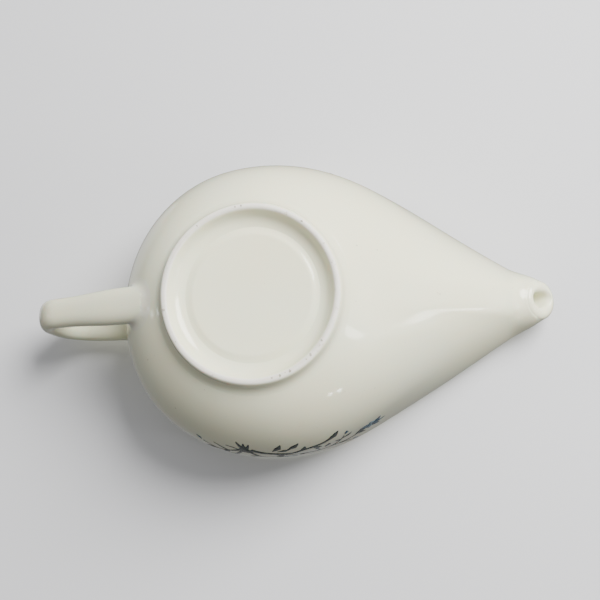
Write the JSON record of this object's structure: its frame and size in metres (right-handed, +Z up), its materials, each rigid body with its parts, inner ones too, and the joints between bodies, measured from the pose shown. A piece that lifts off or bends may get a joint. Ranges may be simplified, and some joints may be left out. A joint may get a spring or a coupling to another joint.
{
  "type": "cream jug",
  "caption": "Low teardrop porcelain cream jug: half-hooded bowl on a foot ring, pointed closed spout with a bent beaded nozzle, ear handle and printed flower sprays.",
  "frame": {"origin": "centre of the foot ring's resting plane", "axes": "+Z up, +X towards the spout, handle at -X, XZ is the plane of symmetry"},
  "size_m": [0.1659, 0.0938, 0.052],
  "materials": {
    "glaze": "glossy clear glaze",
    "slip": "glossy clear glaze",
    "foot": "glazed sides, wiped unglazed crest",
    "print": "printed transfer under glaze"
  },
  "bodies": {
    "root": {"bowl": "glaze", "foot_ring": "foot", "spout": "glaze", "nozzle": "glaze", "hood": "glaze", "handle": "glaze", "handle_joint_lower": "slip", "handle_joint_upper": "slip", "decal_left": "print", "decal_right": "print"}
  },
  "joints": []
}
